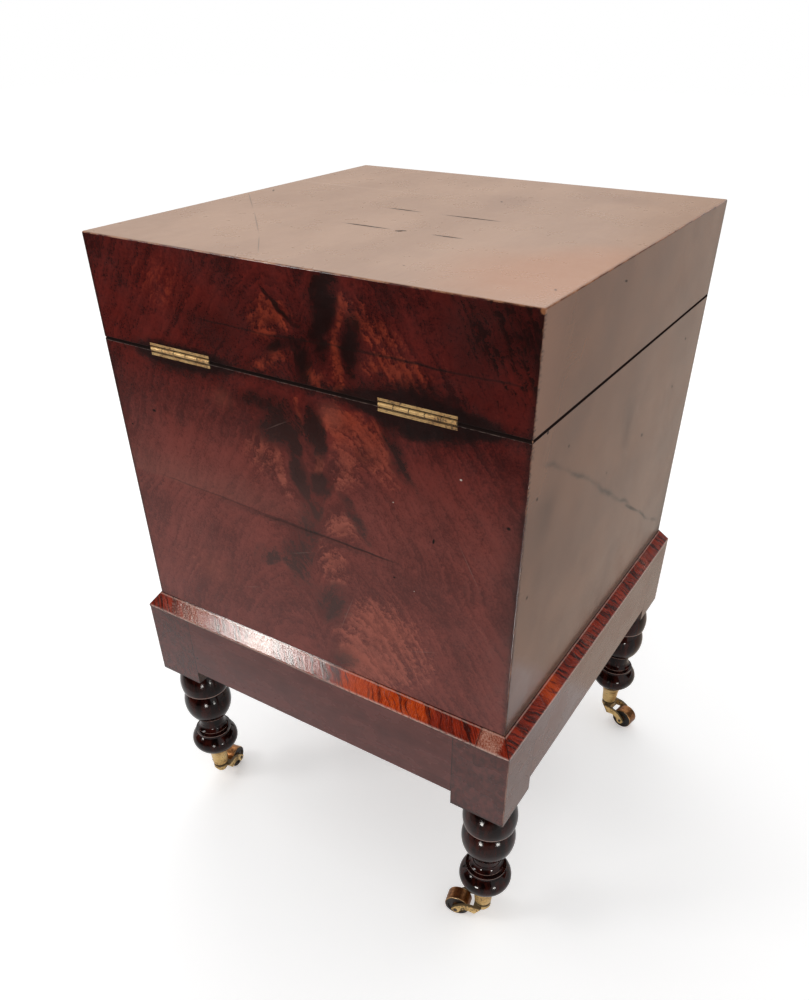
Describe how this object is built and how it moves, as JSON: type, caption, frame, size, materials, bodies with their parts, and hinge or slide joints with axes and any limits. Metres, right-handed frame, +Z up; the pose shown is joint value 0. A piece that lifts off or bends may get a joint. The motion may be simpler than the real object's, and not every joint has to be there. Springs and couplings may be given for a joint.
{
  "type": "antique cellarette",
  "caption": "Square mahogany wine cellarette with a deep hinged lid, divided lined case, sloped crossbanded moulding, turned legs and swivelling brass castors.",
  "frame": {"origin": "on the floor under the middle of the stand, at the centre of the bounding box's base", "axes": "+Z up; the lock is on the front, -Y, the hinges are at the rear, +Y; +X is to the right seen from the front"},
  "size_m": [0.527, 0.4908, 0.746],
  "materials": {
    "case_veneer": "French-polished figured mahogany veneer",
    "top_veneer": "faded, polished mahogany veneer",
    "crossbanded_moulding": "crossbanded mahogany veneer, worn edges",
    "plinth_veneer": "polished mahogany veneer",
    "turned_leg": "ebonised turned mahogany, high polish",
    "inner_timber": "plain oiled mahogany",
    "zinc": "dull zinc sheet",
    "castor_brass": "worn lacquered brass",
    "wheel_brass": "brown patinated brass",
    "iron": "dark iron",
    "hinge_brass": "old brass, stained in the hollows",
    "lock_brass": "aged brass"
  },
  "bodies": {
    "cabinet": {"case_floor": "inner_timber", "zinc_liner": "zinc", "case_panel_front": "case_veneer", "stand_moulding_front": "crossbanded_moulding", "stand_rail_front": "plinth_veneer", "case_panel_rear": "case_veneer", "stand_moulding_rear": "crossbanded_moulding", "stand_rail_rear": "plinth_veneer", "case_panel_left": "case_veneer", "stand_moulding_left": "crossbanded_moulding", "stand_rail_left": "plinth_veneer", "case_panel_right": "case_veneer", "stand_moulding_right": "crossbanded_moulding", "stand_rail_right": "plinth_veneer", "divider_across_1": "inner_timber", "divider_deep_1": "inner_timber", "divider_across_2": "inner_timber", "divider_deep_2": "inner_timber", "corner_block_front_left": "plinth_veneer", "leg_front_left": "turned_leg", "castor_socket_front_left": "castor_brass", "corner_block_front_right": "plinth_veneer", "leg_front_right": "turned_leg", "castor_socket_front_right": "castor_brass", "corner_block_rear_left": "plinth_veneer", "leg_rear_left": "turned_leg", "castor_socket_rear_left": "castor_brass", "corner_block_rear_right": "plinth_veneer", "leg_rear_right": "turned_leg", "castor_socket_rear_right": "castor_brass", "hinge_case_leaf_left": "hinge_brass", "hinge_pin_left": "iron", "hinge_case_leaf_right": "hinge_brass", "hinge_pin_right": "iron", "case_screws": "hinge_brass", "lock_case": "lock_brass", "escutcheon": "lock_brass"},
    "lid": {"lid_rim_front": "case_veneer", "lid_rim_rear": "case_veneer", "lid_rim_left": "case_veneer", "lid_rim_right": "case_veneer", "hinge_lid_leaf_left": "hinge_brass", "hinge_lid_leaf_right": "hinge_brass", "lid_top": "top_veneer", "lid_screws": "hinge_brass", "staple_plate": "lock_brass"},
    "bolt": {"lock_bolt": "lock_brass"},
    "castor_front_left": {"castor_horn_front_left": "castor_brass", "castor_pin_front_left": "iron"},
    "wheel_front_left": {"castor_wheel_front_left": "wheel_brass"},
    "castor_front_right": {"castor_horn_front_right": "castor_brass", "castor_pin_front_right": "iron"},
    "wheel_front_right": {"castor_wheel_front_right": "wheel_brass"},
    "castor_rear_left": {"castor_horn_rear_left": "castor_brass", "castor_pin_rear_left": "iron"},
    "wheel_rear_left": {"castor_wheel_rear_left": "wheel_brass"},
    "castor_rear_right": {"castor_horn_rear_right": "castor_brass", "castor_pin_rear_right": "iron"},
    "wheel_rear_right": {"castor_wheel_rear_right": "wheel_brass"}
  },
  "joints": [
    {"name": "lid_hinge", "type": "hinge", "parent": "cabinet", "child": "lid", "pos_m": [0, 0.2315, 0.64784], "axis": [-1, 0, 0], "range_deg": [0, 95]},
    {"name": "lock_bolt_slide", "type": "slide", "parent": "cabinet", "child": "bolt", "axis": [-1, 0, 0], "range_m": [0, 0.009]},
    {"name": "castor_swivel_front_left", "type": "hinge", "parent": "cabinet", "child": "castor_front_left", "pos_m": [-0.2172, -0.2132, 0.019], "axis": [0, 0, 1], "continuous": true},
    {"name": "castor_roll_front_left", "type": "hinge", "parent": "castor_front_left", "child": "wheel_front_left", "pos_m": [-0.24714, -0.20738, 0.0152], "axis": [-0.1908, -0.9816, 0], "continuous": true},
    {"name": "castor_swivel_front_right", "type": "hinge", "parent": "cabinet", "child": "castor_front_right", "pos_m": [0.2172, -0.2132, 0.019], "axis": [0, 0, 1], "continuous": true},
    {"name": "castor_roll_front_right", "type": "hinge", "parent": "castor_front_right", "child": "wheel_front_right", "pos_m": [0.24714, -0.20738, 0.0152], "axis": [-0.1908, 0.9816, 0], "continuous": true},
    {"name": "castor_swivel_rear_left", "type": "hinge", "parent": "cabinet", "child": "castor_rear_left", "pos_m": [-0.2182, 0.2136, 0.019], "axis": [0, 0, 1], "continuous": true},
    {"name": "castor_roll_rear_left", "type": "hinge", "parent": "castor_rear_left", "child": "wheel_rear_left", "pos_m": [-0.18848, 0.22046, 0.0152], "axis": [-0.225, 0.9744, 0], "continuous": true},
    {"name": "castor_swivel_rear_right", "type": "hinge", "parent": "cabinet", "child": "castor_rear_right", "pos_m": [0.2136, 0.2128, 0.019], "axis": [0, 0, 1], "continuous": true},
    {"name": "castor_roll_rear_right", "type": "hinge", "parent": "castor_rear_right", "child": "wheel_rear_right", "pos_m": [0.21942, 0.18286, 0.0152], "axis": [0.9816, 0.1908, 0], "continuous": true}
  ]
}
